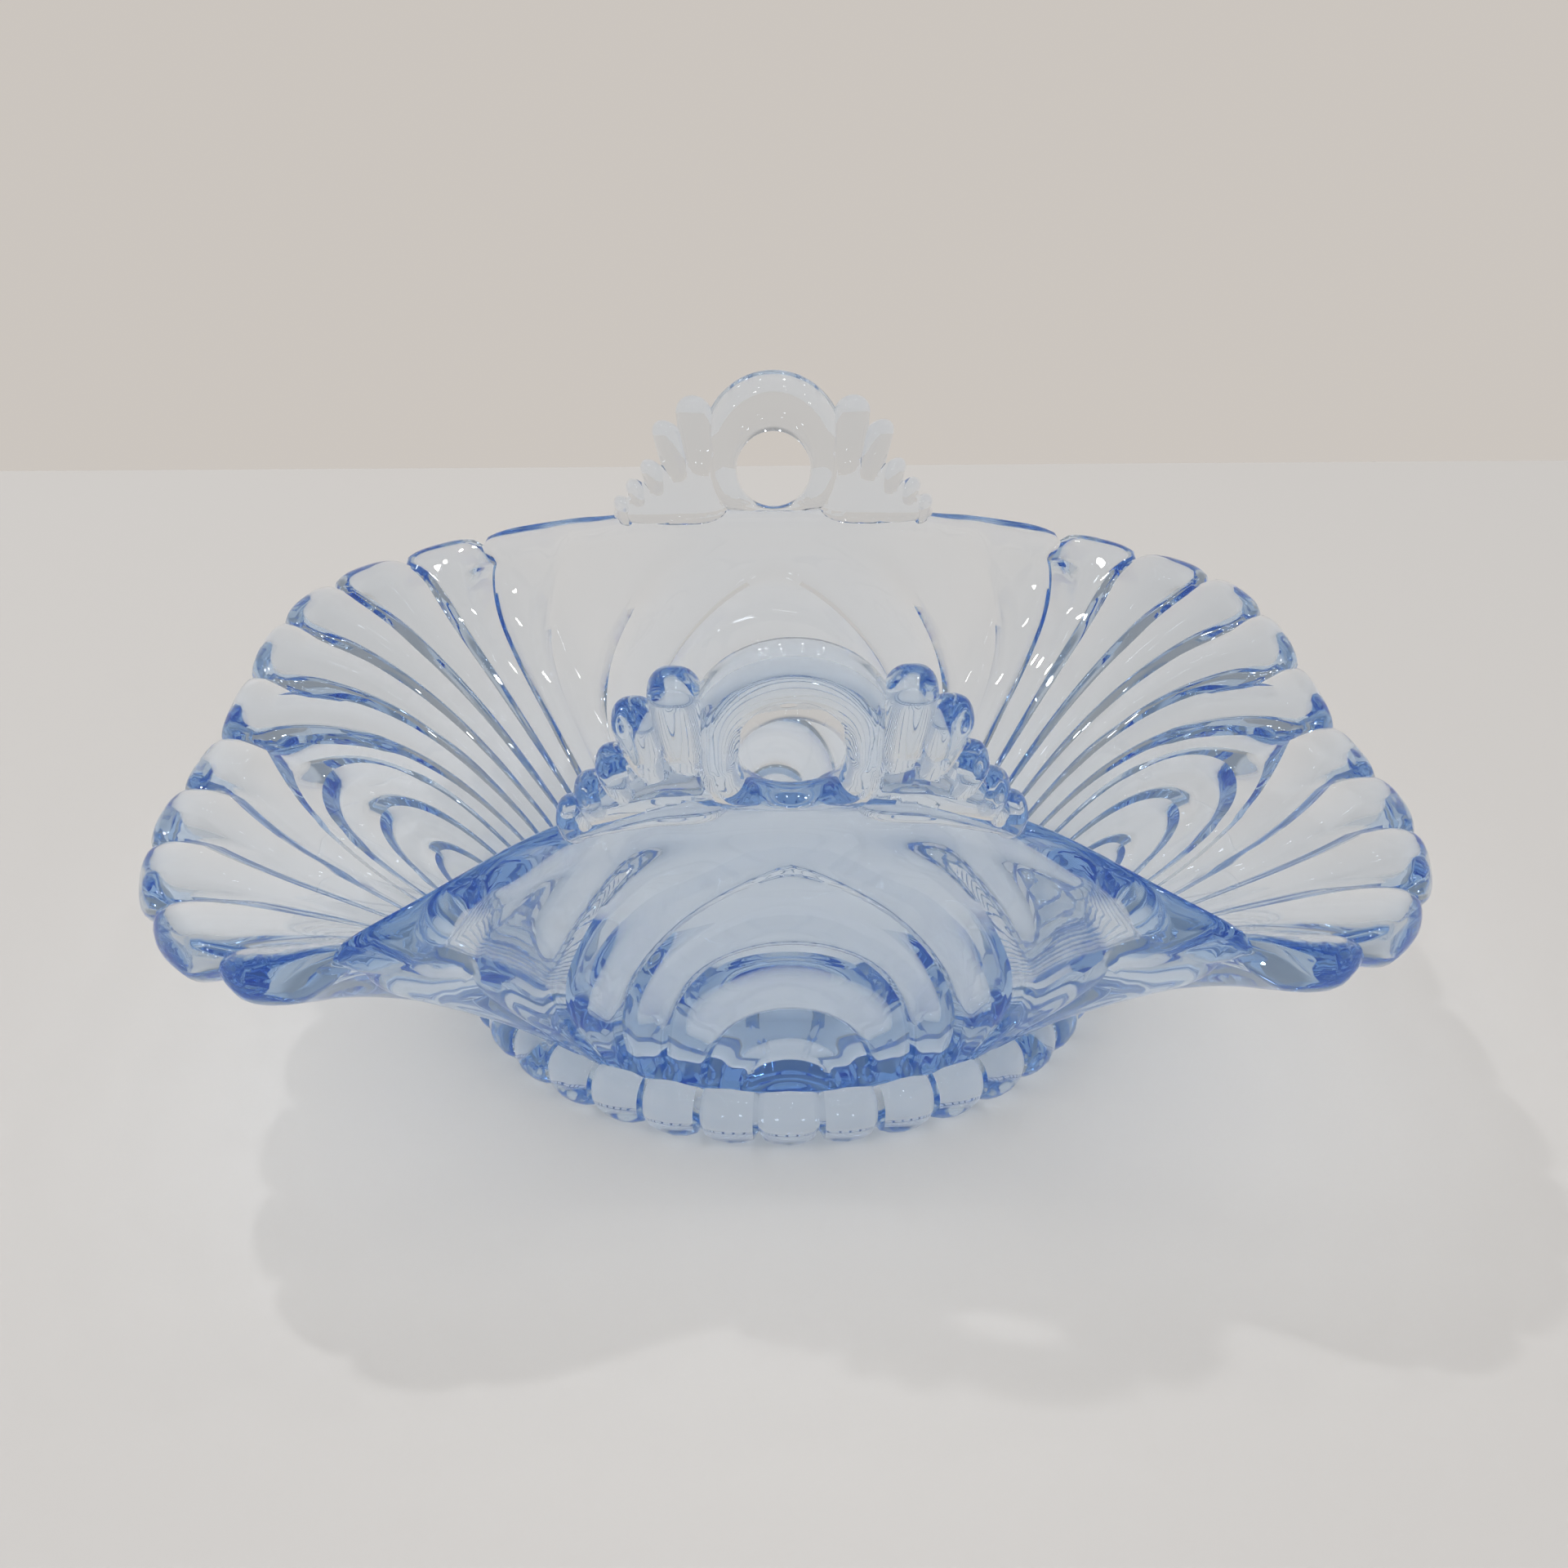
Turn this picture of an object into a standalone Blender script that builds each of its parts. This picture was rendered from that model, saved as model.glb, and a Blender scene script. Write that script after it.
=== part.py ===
"""Candy dish of pressed pale blue glass: a square, shell-fluted bowl on a beaded foot ring, with two pierced handles.

Frame: metres, +Z up. The origin is on the table under the middle of the dish, +X points to a wing and +Y to the rear
handle. The dish is mirrored in the planes X = 0 and Y = 0, so one quarter of the bowl is worked out and mirrored.
"""

import math

import bmesh
import bpy
import numpy as np
from mathutils import Matrix, Vector

MM = 0.001

# Rim, seen from above: a superellipse whose two handle sides are folded up and in.
HALF_WIDTH = 75 * MM
HALF_DEPTH = 71.5 * MM
RIM_SQUARENESS = 4.0
FOLD_IN = 22.5 * MM
FOLD_START = 58 * MM
FOLD_END = 12 * MM

# Rim heights above the table.
WING_HEIGHT = 35.5 * MM
CORNER_LIFT = 2.5 * MM
SEAT_HEIGHT = 50 * MM

# Wall, floor and foot.
WALL = 5 * MM
RIM_THICKNESS = 6 * MM
WALL_FLARE = 0.16
FLOOR = 4.2 * MM
FLOOR_ROUNDING = 1.2 * MM
FLOOR_RADIUS = 35.2 * MM
FLOOR_UNDERSIDE = 3.4 * MM
REBATE_RADIUS = 38 * MM
REBATE_PLAY = 0.15 * MM
FOOT_HEIGHT = 8 * MM
FOOT_RADIUS = 43.5 * MM
FOOT_INNER_RADIUS = 33 * MM
BEAD_COUNT = 36
FOOT_BEAD_RELIEF = 1.6 * MM
FOOT_BEAD_SHOULDER = 2.4 * MM
FOOT_BEAD_WIDEST = 3.2 * MM
FOOT_BEAD_TOP = 7.4 * MM
FOOT_EDGE = 1.2 * MM
BOWL_BASE_RADIUS = 41 * MM

# Shell flutes: lobes along a quarter of the rim, and the nested arches that close under the middle of a wing.
RIM_LOBES = 6
LOBE_PITCH = 18.6 * MM
LOBE_PITCH_STEP = 1.3 * MM
ARCHES = 4.5
ARCH_CLOSING = 1.5
FLUTE_FULLNESS = 3
FLUTE_DEPTH_AT_FOOT = 0.5 * MM
FLUTE_DEPTH_AT_RIM = 1.5 * MM
FLUTE_START = 0.1
FLUTE_FADE = 0.6
SCALLOP = 2.2 * MM

# Handles: a pierced ring between two fans of petals, on a bar that stands on the rim.
HANDLE_HALF_SPAN = 24 * MM
HANDLE_LEAN = math.radians(17)
HANDLE_THICKNESS = 5.8 * MM
BAR_HEIGHT = 3.6 * MM
BAR_END_FULLNESS = 6
BAR_END_TAPER = 0.22
RING_RADIUS = 10.7 * MM
RING_RISE = 11.5 * MM
RING_EDGE = 1.0 * MM
HOLE_RADIUS = 5.7 * MM
HOLE_RISE = 7.4 * MM

# The petals on one side of the ring, from the ring outwards.
PETAL_TIP_ACROSS = (12 * MM, 16.4 * MM, 18.4 * MM, 21.4 * MM)
PETAL_TIP_RISE = (18.3 * MM, 14.4 * MM, 5.9 * MM, 4.3 * MM)
PETAL_HALF_WIDTH = (2.8 * MM, 2.2 * MM, 2.1 * MM, 1.9 * MM)
PETAL_SPLAY = (math.radians(4), math.radians(7), math.radians(9), math.radians(9))
PETAL_FULLNESS = 0.94

# Fineness of the facets.
FLUTE_STEPS = 4
WALL_STEPS = 10
INNER_STEPS = 8
FLOOR_SHARE = 0.25
LIP_STEPS = 4
PANEL_STEPS = 5
BEAD_STEPS = 4
ROUND_STEPS = 28
PETAL_STEPS = 12
WELD = 0.001 * MM
SAME_ANGLE = 1e-6

FLOOR_HEIGHT = FLOOR_UNDERSIDE + FLOOR
GLASS_COLOUR = (0.62, 0.76, 0.93, 1.0)


def clear_scene():
    for obj in list(bpy.data.objects):
        bpy.data.objects.remove(obj, do_unlink=True)


def glass_material(name):
    """Clear pale blue glass."""
    material = bpy.data.materials.new(name)
    material.use_nodes = True
    shader = material.node_tree.nodes["Principled BSDF"]
    shader.inputs["Base Color"].default_value = GLASS_COLOUR
    shader.inputs["Roughness"].default_value = 0.02
    shader.inputs["Metallic"].default_value = 0.0
    shader.inputs["IOR"].default_value = 1.5
    shader.inputs["Transmission Weight"].default_value = 1.0
    return material


def smoothstep(low, high, value):
    share = np.clip((value - low) / (high - low), 0, 1)
    return share * share * (3 - 2 * share)


# The crest of the rim in the first quarter

CREST_SAMPLES = 2000


def crest_curve():
    """Points along the rim's crest from the middle of a wing to the middle of a handle, and the length up to each."""
    turn = np.linspace(0, math.pi / 2, CREST_SAMPLES)
    x = HALF_WIDTH * np.cos(turn).clip(0) ** (2 / RIM_SQUARENESS)
    y = HALF_DEPTH * np.sin(turn).clip(0) ** (2 / RIM_SQUARENESS)
    y = y - FOLD_IN * (1 - smoothstep(FOLD_END, FOLD_START, x))
    corner = WING_HEIGHT + CORNER_LIFT * smoothstep(0, HALF_DEPTH - 1.5 * FOLD_IN, y)
    z = corner + (SEAT_HEIGHT - corner) * (1 - smoothstep(HANDLE_HALF_SPAN, FOLD_START, x))
    points = np.stack([x, y, z], axis=1)
    steps = np.linalg.norm(np.diff(points, axis=0), axis=1)
    return points, np.concatenate([[0], np.cumsum(steps)])


CREST, CREST_LENGTH = crest_curve()
CREST_ANGLE = np.arctan2(CREST[:, 1], CREST[:, 0])
HANDLE_END_LENGTH = np.interp(-HANDLE_HALF_SPAN, -CREST[:, 0], CREST_LENGTH)
HANDLE_END_ANGLE = np.interp(HANDLE_END_LENGTH, CREST_LENGTH, CREST_ANGLE)


def crest_at(angle):
    """Radius and height of the crest at an angle from +X, seen from above."""
    radius = np.interp(angle, CREST_ANGLE, np.hypot(CREST[:, 0], CREST[:, 1]))
    return radius, np.interp(angle, CREST_ANGLE, CREST[:, 2])


# The flutes: line 0 ends at the middle of a wing, line RIM_LOBES beside the handle, and negative lines close as arches


def rim_angle(line):
    """Where a flute line meets the rim. Each lobe is a little narrower than the one before, up to the last long one."""
    count = np.arange(RIM_LOBES)
    ends = count * LOBE_PITCH - count * (count - 1) / 2 * LOBE_PITCH_STEP
    ends = np.append(ends, HANDLE_END_LENGTH)
    return np.interp(np.interp(line, np.arange(RIM_LOBES + 1), ends), CREST_LENGTH, CREST_ANGLE)


def foot_angle(line):
    """Where a flute line leaves the foot. The lines stand evenly there."""
    return HANDLE_END_ANGLE * (line + ARCHES) / (RIM_LOBES + ARCHES)


def line_place(line, share):
    """Angle and wall share (0 at the foot, 1 at the rim) of a point part way along a flute line."""
    reach = min(1.0, 1 + line / ARCHES) ** ARCH_CLOSING
    pointed = min(1.0, max(0.0, line + 1))
    share = pointed * share + (1 - pointed) * math.sin(share * math.pi / 2)
    bend = (1 - share**2) ** (0.5 + 0.5 * pointed)
    end = rim_angle(max(line, 0.0))
    return end + (foot_angle(line) - end) * bend, share * reach


def crown(line):
    """Height of a flute's cross-section, 0 in the valley at a whole line and 1 on the crown."""
    across = abs(2 * (line - math.floor(line)) - 1)
    return 1 - across**FLUTE_FULLNESS


def lobe(line):
    """The outward swell of a rim lobe, 0 in a notch. The lobe beside the handle runs into it with no notch."""
    if line >= RIM_LOBES - 0.5:
        return 1.0
    across = 2 * (line - math.floor(line)) - 1
    return math.sqrt(1 - across**2)


# The wall's section at one angle, as radius and height


def turned(point, angle):
    """A section's radius and height, turned to its angle."""
    return Vector((point.x * math.cos(angle), point.x * math.sin(angle), point.y))


def section(angle, swell=1.0):
    """The ends of the wall at this angle: the crest, and the inner and outer edges of the rim."""
    radius, height = crest_at(angle)
    half = RIM_THICKNESS / 2
    foot = Vector((BOWL_BASE_RADIUS - WALL / 2, FOOT_HEIGHT + WALL / 2))
    crest = Vector((radius, height))
    up = (crest - foot).normalized()
    crest = crest - up * SCALLOP * (1 - swell)
    inward = Vector((-up.y, up.x))
    if angle >= HANDLE_END_ANGLE - SAME_ANGLE:
        land = Vector((half / up.y, 0))
        return crest, crest - land, crest + land
    middle = crest - up * half
    return crest, middle + inward * half, middle - inward * half


def wall_point(angle, share, start, end):
    """A point of a wall that flares from start to end: it rises first, then turns out towards the rim."""
    along = end - start
    lift = WALL_FLARE * along.x * 2 * share * (1 - share)
    return turned(start + along * share + Vector((0, lift)), angle)


def outer_point(angle, share, cut, swell=1.0):
    """A point of the fluted outside, cut into the wall by a depth."""
    outer_edge = section(angle, swell)[2]
    start = Vector((BOWL_BASE_RADIUS, FOOT_HEIGHT))
    along = outer_edge - start
    point = wall_point(angle, share, start, outer_edge)
    inward = Vector((-along.y * math.cos(angle), -along.y * math.sin(angle), along.x)).normalized()
    return point + inward * cut


def inner_point(angle, share, swell):
    """A point of the smooth inside. A share below 0 lies on the floor, and the wall runs into it with no edge."""
    inner_edge = section(angle, swell)[1]
    point = wall_point(angle, share, Vector((FLOOR_RADIUS, FLOOR_HEIGHT)), inner_edge)
    above = (point.z - FLOOR_HEIGHT) / FLOOR_ROUNDING
    point.z = FLOOR_HEIGHT + FLOOR_ROUNDING * float(np.logaddexp(0, above))
    return point


def flute_cut(line, share):
    """Depth of the relief at a flute line. It starts just above the foot, and grows to the rim or fades at a handle."""
    depth = FLUTE_DEPTH_AT_FOOT + (FLUTE_DEPTH_AT_RIM - FLUTE_DEPTH_AT_FOOT) * share
    if line > RIM_LOBES - 0.5:
        depth = depth * (1 - smoothstep(FLUTE_FADE, 1, share))
    return depth * (1 - crown(line)) * smoothstep(0, FLUTE_START, share)


# The bowl


def sheet(bm, rows):
    """Quads between neighbouring rows of points."""
    verts = [[bm.verts.new(point) for point in row] for row in rows]
    for row, following in zip(verts, verts[1:]):
        for left in range(len(row) - 1):
            bm.faces.new((row[left], row[left + 1], following[left + 1], following[left]))


def disc_sector(bm, edge, height):
    """A flat sector from the middle of the dish to a row of edge points."""
    middle = bm.verts.new((0, 0, height))
    verts = [bm.verts.new(point) for point in edge]
    for first, second in zip(verts, verts[1:]):
        bm.faces.new((middle, first, second))


def ring_point(point, height):
    """The place at the angle of a point where the floor of the bowl meets the rebate in the foot ring."""
    angle = math.atan2(point.y, point.x)
    return Vector((REBATE_RADIUS * math.cos(angle), REBATE_RADIUS * math.sin(angle), height))


def fluted_column(line):
    """The outside of the wall along one flute line, from the foot to the rim."""
    column = []
    for share in np.linspace(0, 1, WALL_STEPS + 1):
        angle, reach = line_place(line, share)
        swell = 1 - (1 - lobe(max(line, 0.0))) * smoothstep(0, 1, reach)
        column.append(outer_point(angle, reach, flute_cut(line, reach), swell))
    return column


def panel_column(angle):
    """The plain outside of the wall under a handle."""
    return [outer_point(angle, share, 0) for share in np.linspace(0, 1, WALL_STEPS + 1)]


def lip_row(outer, crest, inner, land):
    """The rounded lip from the outer edge over the crest to the inner edge, or the flat land under a handle."""
    row = []
    for share in np.linspace(0, 1, LIP_STEPS + 1):
        turn = math.pi * share
        middle = (outer + inner) / 2
        round_point = middle + (outer - inner) / 2 * math.cos(turn) + (crest - middle) * math.sin(turn)
        row.append(outer.lerp(inner, share) if land else round_point)
    return row


def quarter_bowl():
    """One quarter of the bowl, open at the mirror planes."""
    bm = bmesh.new()
    lines = np.linspace(0, RIM_LOBES, RIM_LOBES * FLUTE_STEPS + 1)
    arch_lines = np.linspace(0, -ARCHES, int(ARCHES * FLUTE_STEPS) + 1)
    panel_angles = np.linspace(HANDLE_END_ANGLE, math.pi / 2, PANEL_STEPS + 1)

    fan = [fluted_column(line) for line in lines]
    arches = [fluted_column(line) for line in arch_lines]
    panel = [panel_column(angle) for angle in panel_angles]
    panel[0] = fan[-1]
    sheet(bm, fan)
    sheet(bm, arches[::-1])
    sheet(bm, panel)

    columns = [(rim_angle(line), lobe(line), column[-1]) for line, column in zip(lines, fan)]
    columns += [(angle, 1.0, column[-1]) for angle, column in zip(panel_angles[1:], panel[1:])]
    lips, insides = [], []
    for angle, swell, outer in columns:
        crest, inner, _ = section(angle, swell)
        land = angle >= HANDLE_END_ANGLE - SAME_ANGLE
        lips.append(lip_row(outer, turned(crest, angle), turned(inner, angle), land))
        insides.append([inner_point(angle, share, swell) for share in np.linspace(1, -FLOOR_SHARE, INNER_STEPS + 1)])
    sheet(bm, lips)
    sheet(bm, insides)

    disc_sector(bm, [column[-1] for column in insides], FLOOR_HEIGHT)
    foot_edge = [column[0] for column in arches[::-1]]
    foot_edge += [column[0] for column in fan[1:]]
    foot_edge += [column[0] for column in panel[1:]]
    rebate_top = [ring_point(point, FOOT_HEIGHT) for point in foot_edge]
    rebate_foot = [ring_point(point, FLOOR_UNDERSIDE) for point in foot_edge]
    sheet(bm, [foot_edge, rebate_top, rebate_foot])
    disc_sector(bm, rebate_foot, FLOOR_UNDERSIDE)
    return bm


def finish(bm, name, material):
    """Welds the faces into one closed surface and links it as a smooth-shaded object."""
    bmesh.ops.remove_doubles(bm, verts=bm.verts, dist=WELD)
    bmesh.ops.dissolve_degenerate(bm, edges=bm.edges, dist=WELD)
    bmesh.ops.recalc_face_normals(bm, faces=bm.faces)
    mesh = bpy.data.meshes.new(name)
    bm.to_mesh(mesh)
    bm.free()
    mesh.materials.append(material)
    mesh.shade_smooth()
    mesh.set_sharp_from_angle(angle=math.radians(40))
    obj = bpy.data.objects.new(name, mesh)
    bpy.context.collection.objects.link(obj)
    return obj


def make_bowl(material):
    """The bowl: one quarter, mirrored in both planes."""
    bm = quarter_bowl()
    for axis in ("X", "Y"):
        quarter = list(bm.verts) + list(bm.edges) + list(bm.faces)
        bmesh.ops.mirror(bm, geom=quarter, axis=axis, merge_dist=WELD)
    return finish(bm, "bowl", material)


# The foot ring


def make_foot_ring(material):
    """A ring of upright beads, flat on the table, with a rebate inside that the floor of the bowl sits in."""
    bm = bmesh.new()
    columns = BEAD_COUNT * BEAD_STEPS
    rows = []
    for column in range(columns + 1):
        angle = 2 * math.pi * column / columns
        across = 2 * (column / BEAD_STEPS % 1) - 1
        bead = FOOT_RADIUS - FOOT_BEAD_RELIEF * (1 - math.sqrt(1 - across**2))
        profile = (
            (FOOT_INNER_RADIUS, 0),
            (bead - 2 * FOOT_EDGE, 0),
            (bead - FOOT_EDGE / 2, FOOT_EDGE),
            (bead, FOOT_BEAD_WIDEST),
            (bead - FOOT_BEAD_SHOULDER / 3, (FOOT_BEAD_WIDEST + FOOT_BEAD_TOP) / 2),
            (bead - FOOT_BEAD_SHOULDER, FOOT_BEAD_TOP),
            (BOWL_BASE_RADIUS - FOOT_BEAD_SHOULDER, FOOT_HEIGHT),
            (REBATE_RADIUS + REBATE_PLAY, FOOT_HEIGHT),
            (REBATE_RADIUS + REBATE_PLAY, FLOOR_UNDERSIDE),
            (FOOT_INNER_RADIUS, FLOOR_UNDERSIDE),
            (FOOT_INNER_RADIUS, 0),
        )
        rows.append([(r * math.cos(angle), r * math.sin(angle), z) for r, z in profile])
    sheet(bm, rows)
    return finish(bm, "foot_ring", material)


# The handles


def seat_reach(across):
    """How far the middle of the seat lies from the middle of the dish, at a place along the handle."""
    return float(np.interp(-abs(across), -CREST[:, 0], CREST[:, 1]))


def handle_point(across, rise, out):
    """A place on the rear handle: across the dish, up the leaning handle, and out of its face."""
    y = seat_reach(across) + rise * math.sin(HANDLE_LEAN) + out * math.cos(HANDLE_LEAN)
    z = SEAT_HEIGHT + rise * math.cos(HANDLE_LEAN) - out * math.sin(HANDLE_LEAN)
    return Vector((across, y, z))


def link(name, bm):
    mesh = bpy.data.meshes.new(name)
    bm.to_mesh(mesh)
    bm.free()
    obj = bpy.data.objects.new(name, mesh)
    bpy.context.collection.objects.link(obj)
    return obj


def handle_disc(name, rise, radius, thickness, edge):
    """A round plate in the plane of the handle, with its two edges rounded."""
    bm = bmesh.new()
    lean = Matrix.Rotation(math.pi / 2 - HANDLE_LEAN, 4, "X")
    place = Matrix.Translation(handle_point(0, rise, 0)) @ lean
    bmesh.ops.create_cone(
        bm, cap_ends=True, segments=ROUND_STEPS, radius1=radius, radius2=radius, depth=thickness, matrix=place
    )
    if edge:
        caps = [face for face in bm.faces if len(face.verts) == ROUND_STEPS]
        rims = {rim for cap in caps for rim in cap.edges}
        bmesh.ops.bevel(bm, geom=list(rims), offset=edge, segments=2, profile=0.5, affect="EDGES")
    return link(name, bm)


def petal(index, side):
    """One petal of a fan: a rounded finger that stands in the bar and leans away from the ring."""
    across, rise = PETAL_TIP_ACROSS[index], PETAL_TIP_RISE[index]
    half_width = PETAL_HALF_WIDTH[index]
    bm = bmesh.new()
    bmesh.ops.create_uvsphere(bm, u_segments=PETAL_STEPS, v_segments=PETAL_STEPS // 2, radius=half_width)
    for vert in bm.verts:
        vert.co.y *= HANDLE_THICKNESS / 2 / half_width * PETAL_FULLNESS
        if vert.co.z < -WELD:
            vert.co.z -= rise - half_width
    top = handle_point(across, rise, 0)
    lean = Matrix.Rotation(-HANDLE_LEAN, 4, "X") @ Matrix.Rotation(PETAL_SPLAY[index], 4, "Y")
    place = Matrix.Translation(top) @ lean @ Matrix.Translation((0, 0, -half_width))
    bmesh.ops.transform(bm, matrix=Matrix.Diagonal((side, 1, 1, 1)) @ place, verts=bm.verts)
    bmesh.ops.recalc_face_normals(bm, faces=bm.faces)
    return link("petal", bm)


def handle_bar():
    """The bar that all of the handle stands on, following the seat's curve."""
    bm = bmesh.new()
    half = HANDLE_THICKNESS / 2
    rows = []
    for across in np.linspace(-HANDLE_HALF_SPAN, HANDLE_HALF_SPAN, ROUND_STEPS // 2 + 1):
        taper = max(BAR_END_TAPER, math.sqrt(1 - (across / HANDLE_HALF_SPAN) ** BAR_END_FULLNESS))
        top = BAR_HEIGHT * taper
        outline = ((-half, -half), (-half, top / 2), (-half / 2, top), (half / 2, top), (half, top / 2), (half, -half))
        rows.append([handle_point(across, rise, out * taper) for out, rise in outline + outline[:1]])
    sheet(bm, rows)
    bmesh.ops.remove_doubles(bm, verts=bm.verts, dist=WELD)
    bmesh.ops.holes_fill(bm, edges=bm.edges)
    bmesh.ops.recalc_face_normals(bm, faces=bm.faces)
    return link("handle_bar", bm)


def combine(target, other, operation):
    modifier = target.modifiers.new(operation.lower(), "BOOLEAN")
    modifier.operation = operation
    modifier.object = other
    modifier.solver = "EXACT"
    other.hide_render = True
    other.display_type = "WIRE"


def below_seat():
    """A block that fills everything under the seat."""
    bm = bmesh.new()
    bmesh.ops.create_cube(bm, size=1)
    size = Vector((4 * HANDLE_HALF_SPAN, 4 * HANDLE_HALF_SPAN, SEAT_HEIGHT))
    place = Matrix.Translation((0, HALF_DEPTH, SEAT_HEIGHT / 2)) @ Matrix.Diagonal((*size, 1))
    bmesh.ops.transform(bm, matrix=place, verts=bm.verts)
    return link("below_seat", bm)


def make_rear_handle(material):
    """The rear handle: bar, ring and petals in one body, pierced, and flat where it stands on the rim."""
    handle = handle_bar()
    handle.name = "rear_handle"
    combine(handle, handle_disc("handle_ring", RING_RISE, RING_RADIUS, HANDLE_THICKNESS, RING_EDGE), "UNION")
    for index in range(len(PETAL_TIP_ACROSS)):
        for side in (-1, 1):
            combine(handle, petal(index, side), "UNION")
    combine(handle, handle_disc("handle_hole", HOLE_RISE, HOLE_RADIUS, 4 * HANDLE_THICKNESS, 0), "DIFFERENCE")
    combine(handle, below_seat(), "DIFFERENCE")
    handle.data.materials.append(material)
    return handle


def make_front_handle(rear, material):
    """The front handle: the rear one turned half round."""
    graph = bpy.context.evaluated_depsgraph_get()
    mesh = bpy.data.meshes.new_from_object(rear.evaluated_get(graph))
    mesh.name = "front_handle"
    mesh.materials.clear()
    mesh.materials.append(material)
    front = bpy.data.objects.new("front_handle", mesh)
    front.rotation_euler = (0, 0, math.pi)
    bpy.context.collection.objects.link(front)
    return front


def main():
    clear_scene()
    make_bowl(glass_material("bowl_glass"))
    make_foot_ring(glass_material("foot_ring_glass"))
    rear = make_rear_handle(glass_material("rear_handle_glass"))
    make_front_handle(rear, glass_material("front_handle_glass"))


main()
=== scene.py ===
"""Candy dish of pale blue pressed glass: fluted bowl on a beaded foot ring, with two pierced handles."""

import math

import bpy
import numpy as np
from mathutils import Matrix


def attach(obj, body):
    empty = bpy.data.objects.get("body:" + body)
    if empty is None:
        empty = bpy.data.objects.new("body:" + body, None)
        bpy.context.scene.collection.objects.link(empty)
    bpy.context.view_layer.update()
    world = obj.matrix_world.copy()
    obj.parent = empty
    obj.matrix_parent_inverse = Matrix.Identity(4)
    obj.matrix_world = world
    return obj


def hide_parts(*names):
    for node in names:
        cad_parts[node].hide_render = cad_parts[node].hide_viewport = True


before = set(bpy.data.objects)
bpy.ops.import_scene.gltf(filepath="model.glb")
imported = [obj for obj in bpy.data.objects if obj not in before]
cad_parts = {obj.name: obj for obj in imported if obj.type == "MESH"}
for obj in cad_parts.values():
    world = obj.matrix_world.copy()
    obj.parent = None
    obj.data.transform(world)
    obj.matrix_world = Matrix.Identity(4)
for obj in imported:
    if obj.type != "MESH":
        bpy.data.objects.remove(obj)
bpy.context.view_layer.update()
MM = 0.001


# Bowl
# A gather of pale blue glass is pressed into a square mould whose wall is fluted like a shell, and two sides
# are folded up while hot. Grooves fan out from the foot between nested arches on each of the four sides, and
# the flutes between them end in thick rounded lobes along the low wings.

# Rim and wall
half_width = 75 * MM
half_depth = 71.5 * MM
rim_squareness = 4
fold_in = 22.5 * MM
fold_start = 58 * MM
fold_end = 12 * MM
wing_height = 35.5 * MM
corner_lift = 2.5 * MM
corner_lift_end = half_depth - 1.5 * fold_in
seat_height = 51.9 * MM
seat_flat = 10 * MM
seat_slope_end = 63 * MM
base_radius = 38.5 * MM
base_height = 8 * MM
underside_radius = 36.5 * MM
underside_height = 3.4 * MM
floor_height = 7.6 * MM
floor_rounding = 4 * MM
floor_start = -0.35
wall_thickness = 4.8 * MM
rim_thickness = 6 * MM
seat_thickness = 4.8 * MM
wall_flare = 0.16
handle_wall_wedge = 3 * MM

# Lobes and lip
lobe_count = 5
lobe_pitch = 18.6 * MM
lobe_pitch_step = 1.3 * MM
lobe_notch = 2.2 * MM
lobe_fullness = 3
lobe_end_curve = 0.45
lobe_rounding = 1.1 * MM
lobe_rounding_inside = 0.7 * MM
lobe_fullness_inside = 4
lip_length = 4.5 * MM
lip_crest = 0.25
lip_squareness_outside = 2.2
lip_squareness_inside = 3.2
seat_squareness = 2.3

# Grooves and arches
line_count = 7.5
plain_line_across = (31 * MM, 14 * MM)
wing_arch_count = 4.5
wing_arch_closing = 1.08
handle_arch_count = 4.5
handle_arch_closing = 1.5
wing_foot_angle = math.radians(58.5)
wing_foot_crowding = 0.9
groove_flank_at_base = 0.9 * MM
groove_flank_at_rim = 4 * MM
groove_slope = 0.5
handle_flute_depth_low = 0.19
handle_flute_depth_high = 0.1
handle_flute_deepest = 1.8 * MM
handle_flute_rise = 0.38
handle_flute_rise_curve = 1.3
handle_flute_fall_start = 0.8
handle_flute_fall = 0.2
handle_flute_fall_curve = 2

# Where one form runs into the next, as shares up the wall
groove_begins = (0, 0.08)
handle_flute_thins = (0.5, 0.8)
handle_flute_ends = (0.7, 1)
lobe_begins = (0.7, 1)
lobe_begins_inside = (0.72, 1)

# Where one form runs into the next, as lines along the rim
wedge_begins = (lobe_count, lobe_count + 1.5)
handle_flute_begins = (lobe_count + 0.4, lobe_count + 1.4)
seat_wall_begins = (lobe_count + 0.8, line_count - 0.8)
seat_lip_begins = (lobe_count + 1, line_count - 1)
last_notch_end = lobe_count + 0.5


def smooth(low, high, value):
    """0 below low, 1 above high, and an even S between them."""
    share = np.clip((value - low) / (high - low), 0, 1)
    return share * share * (3 - 2 * share)


crest_samples = 4001
turn = np.linspace(0, math.pi / 2, crest_samples)
round_square = (np.cos(turn) / half_width) ** rim_squareness + (np.sin(turn) / half_depth) ** rim_squareness
crest_x = np.cos(turn) * round_square ** (-1 / rim_squareness)
crest_y = np.sin(turn) * round_square ** (-1 / rim_squareness)
crest_y = crest_y - fold_in * (1 - smooth(fold_end, fold_start, crest_x))
corner_height = wing_height + corner_lift * smooth(0, corner_lift_end, crest_y)
crest_z = corner_height + (seat_height - corner_height) * (1 - smooth(seat_flat, seat_slope_end, crest_x))
crest_steps = np.sqrt(np.diff(crest_x) ** 2 + np.diff(crest_y) ** 2 + np.diff(crest_z) ** 2)
crest_length = np.append(0, np.cumsum(crest_steps))
crest_angle = np.arctan2(crest_y, crest_x)
lobe_number = np.arange(lobe_count + 1)
line_ends = lobe_number * lobe_pitch - lobe_number * (lobe_number - 1) / 2 * lobe_pitch_step
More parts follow.
